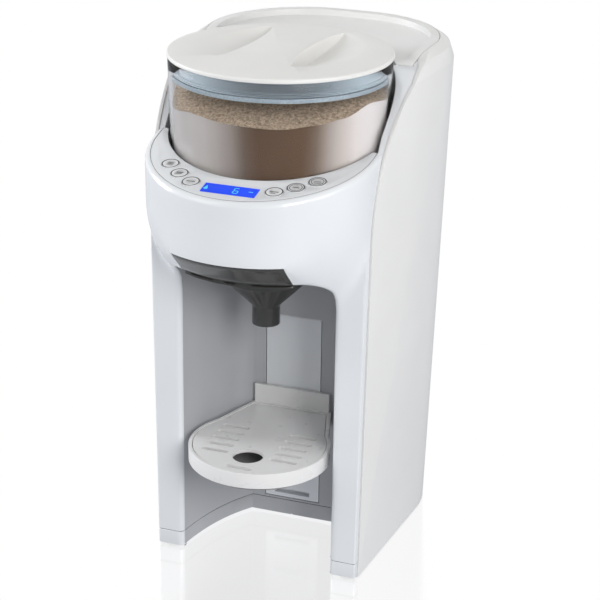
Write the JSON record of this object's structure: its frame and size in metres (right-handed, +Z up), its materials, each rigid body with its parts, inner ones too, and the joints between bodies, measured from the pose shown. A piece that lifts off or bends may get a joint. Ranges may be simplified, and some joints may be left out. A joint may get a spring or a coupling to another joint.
{
  "type": "baby formula maker",
  "caption": "Countertop formula maker: clear powder hopper on a white body, arched bottle bay with drip tray, slide-out funnel and rear water tank.",
  "frame": {"origin": "bottom centre of the whole machine, on the surface it stands on", "axes": "+Z up, -Y towards the user (front), +X to the right seen from the front"},
  "size_m": [0.22, 0.324, 0.432],
  "materials": {
    "front_white": "gloss",
    "side_white": "satin",
    "lid_white": "satin",
    "tray_white": "satin",
    "button_white": "satin",
    "hopper_clear": "clear smoked plastic",
    "ring_blue": "frosted",
    "funnel_smoke": "smoked gloss",
    "tank_clear": "clear",
    "tube_clear": "satin",
    "inner_grey": "satin",
    "foot_rubber": "matt",
    "display_blue": "gloss",
    "black_plastic": "matt",
    "circuit_green": "matt",
    "steel": "brushed",
    "brass": "machined"
  },
  "bodies": {
    "housing": {"base_pan": "front_white", "feet": "foot_rubber", "front_shell": "front_white", "left_shell": "side_white", "right_shell": "side_white", "rear_cover": "side_white", "inner_frame": "inner_grey", "hopper_deck": "inner_grey", "hopper_collar": "front_white", "control_panel": "front_white", "display_lens": "display_blue", "display_module": "black_plastic", "button_board": "circuit_green", "gear_motor": "steel", "powder_chute": "inner_grey", "tray_rack": "front_white", "valve_seat": "inner_grey", "water_pump": "steel", "heater": "steel", "pump_tube": "tube_clear", "heater_tube": "tube_clear", "water_nozzle": "inner_grey", "main_board": "circuit_green", "power_inlet": "black_plastic", "screws": "steel"},
    "hopper": {"hopper": "hopper_clear", "dose_scraper": "inner_grey"},
    "lid_seal": {"lid_seal": "foot_rubber"},
    "lid": {"lid": "lid_white", "lid_ring": "ring_blue"},
    "dosing_wheel": {"dosing_wheel": "lid_white", "stirrer": "lid_white"},
    "drive_train": {"drive_shaft": "steel", "drive_gear": "inner_grey"},
    "motor_pinion": {"motor_pinion": "brass"},
    "funnel": {"funnel": "funnel_smoke"},
    "drip_tray": {"drip_tray": "tray_white"},
    "drip_grille": {"drip_grille": "tray_white"},
    "water_tank": {"water_tank": "tank_clear"},
    "tank_lid": {"tank_lid": "side_white"},
    "tank_valve": {"tank_valve": "foot_rubber"},
    "pump_rotor": {"pump_rotor": "black_plastic"},
    "button_1": {"button_1": "button_white"},
    "button_2": {"button_2": "button_white"},
    "button_3": {"button_3": "button_white"},
    "button_4": {"button_4": "button_white"},
    "button_5": {"button_5": "button_white"},
    "button_6": {"button_6": "button_white"}
  },
  "joints": [
    {"name": "hopper_lift", "type": "slide", "parent": "housing", "child": "hopper", "axis": [0, 0, 1], "range_m": [0, 0.12]},
    {"name": "lid_lift", "type": "slide", "parent": "hopper", "child": "lid_seal", "axis": [0, 0, 1], "range_m": [0, 0.06]},
    {"name": "lid_twist", "type": "hinge", "parent": "lid_seal", "child": "lid", "pos_m": [0, -0.0355, 0.42], "axis": [0, 0, 1], "range_deg": [0, 25]},
    {"name": "drive_spin", "type": "hinge", "parent": "housing", "child": "drive_train", "pos_m": [0, -0.0355, 0.31], "axis": [0, 0, 1], "continuous": true},
    {"name": "pinion_spin", "type": "hinge", "parent": "housing", "child": "motor_pinion", "pos_m": [0, -0.0155, 0.31], "axis": [0, 0, 1], "continuous": true},
    {"name": "wheel_spin", "type": "hinge", "parent": "hopper", "child": "dosing_wheel", "pos_m": [0, -0.0355, 0.33], "axis": [0, 0, 1], "continuous": true},
    {"name": "funnel_slide", "type": "slide", "parent": "housing", "child": "funnel", "axis": [0, -1, 0], "range_m": [0, 0.11]},
    {"name": "tray_slide", "type": "slide", "parent": "housing", "child": "drip_tray", "axis": [0, -1, 0], "range_m": [0, 0.1]},
    {"name": "grille_lift", "type": "slide", "parent": "drip_tray", "child": "drip_grille", "axis": [0, 0, 1], "range_m": [0, 0.04]},
    {"name": "tank_lift", "type": "slide", "parent": "housing", "child": "water_tank", "axis": [0, 0, 1], "range_m": [0, 0.22]},
    {"name": "tank_lid_lift", "type": "slide", "parent": "water_tank", "child": "tank_lid", "axis": [0, 0, 1], "range_m": [0, 0.05]},
    {"name": "tank_valve_lift", "type": "slide", "parent": "water_tank", "child": "tank_valve", "axis": [0, 0, 1], "range_m": [0, 0.003], "stiffness_N_per_m": 200},
    {"name": "pump_spin", "type": "hinge", "parent": "housing", "child": "pump_rotor", "pos_m": [-0.02, 0.0605, 0.0285], "axis": [1, 0, 0], "continuous": true},
    {"name": "button_1_press", "type": "slide", "parent": "housing", "child": "button_1", "axis": [0, 0.196, -0.9806], "range_m": [0, 0.001], "stiffness_N_per_m": 400},
    {"name": "button_2_press", "type": "slide", "parent": "housing", "child": "button_2", "axis": [0, 0.196, -0.9806], "range_m": [0, 0.001], "stiffness_N_per_m": 400},
    {"name": "button_3_press", "type": "slide", "parent": "housing", "child": "button_3", "axis": [0, 0.196, -0.9806], "range_m": [0, 0.001], "stiffness_N_per_m": 400},
    {"name": "button_4_press", "type": "slide", "parent": "housing", "child": "button_4", "axis": [0, 0.196, -0.9806], "range_m": [0, 0.001], "stiffness_N_per_m": 400},
    {"name": "button_5_press", "type": "slide", "parent": "housing", "child": "button_5", "axis": [0, 0.196, -0.9806], "range_m": [0, 0.001], "stiffness_N_per_m": 400},
    {"name": "button_6_press", "type": "slide", "parent": "housing", "child": "button_6", "axis": [0, 0.196, -0.9806], "range_m": [0, 0.001], "stiffness_N_per_m": 400}
  ],
  "couplings": [
    {"joint": "pinion_spin", "follows": "drive_spin", "ratio": -2.3333},
    {"joint": "wheel_spin", "follows": "drive_spin", "ratio": 1}
  ]
}
